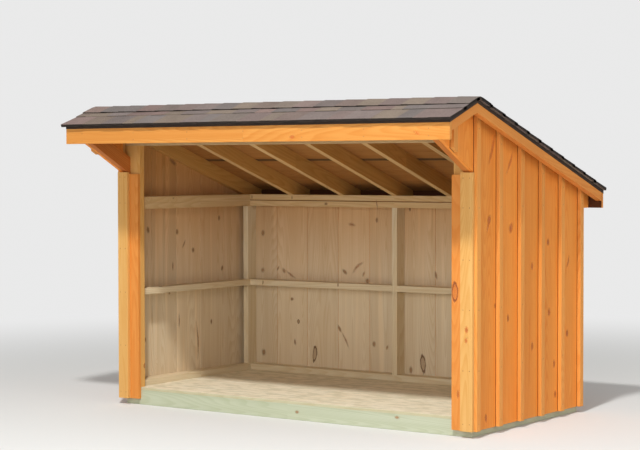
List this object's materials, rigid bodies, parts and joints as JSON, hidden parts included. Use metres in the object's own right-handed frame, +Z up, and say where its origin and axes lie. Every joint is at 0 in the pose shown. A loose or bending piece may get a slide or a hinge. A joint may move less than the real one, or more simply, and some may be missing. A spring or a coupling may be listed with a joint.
{
  "type": "log store",
  "caption": "Open-fronted timber log store with board-and-batten walls, stud framing, raised plywood floor and an offset shingled roof that hangs over the front.",
  "frame": {"origin": "middle of the floor frame's underside, at ground level", "axes": "+X to the right along the open front, +Y from the open front to the back wall, +Z up"},
  "size_m": [2.692, 1.788, 1.8197],
  "materials": {
    "stained_pine": "translucent orange stain on rough-sawn pine, satin",
    "bare_pine": "bare planed pine",
    "treated_timber": "pressure-treated timber with a pale green tint",
    "plywood": "bare plywood",
    "sheathing": "bare sheathing board",
    "shingle": "mineral granules on asphalt, matt",
    "drip_edge": "dark brown painted sheet metal"
  },
  "bodies": {
    "root": {"front_rim": "treated_timber", "back_rim": "treated_timber", "floor_joists": "treated_timber", "floor_deck": "plywood", "left_bottom_plate": "bare_pine", "right_bottom_plate": "bare_pine", "back_bottom_plate": "bare_pine", "left_front_post": "bare_pine", "right_front_post": "bare_pine", "back_studs": "bare_pine", "corner_studs": "bare_pine", "back_girts": "bare_pine", "side_girts": "bare_pine", "left_top_plate": "bare_pine", "right_top_plate": "bare_pine", "back_top_plate": "bare_pine", "front_header": "bare_pine", "rear_rafters": "bare_pine", "front_rafters": "bare_pine", "ridge_board": "bare_pine", "left_brace": "stained_pine", "right_brace": "stained_pine", "left_siding": "stained_pine", "right_siding": "stained_pine", "back_siding": "stained_pine", "left_battens": "stained_pine", "right_battens": "stained_pine", "back_battens": "stained_pine", "left_front_board": "stained_pine", "right_front_board": "stained_pine", "left_corner_trim": "stained_pine", "right_corner_trim": "stained_pine", "front_fascia": "stained_pine", "rear_fascia": "stained_pine", "left_rake_board": "stained_pine", "right_rake_board": "stained_pine", "rear_soffit": "stained_pine", "rear_sheathing": "sheathing", "front_sheathing": "sheathing", "rear_shingles": "shingle", "front_shingles": "shingle", "ridge_cap": "shingle", "front_drip_edge": "drip_edge", "rear_drip_edge": "drip_edge", "rake_drip_edges": "drip_edge"}
  },
  "joints": []
}
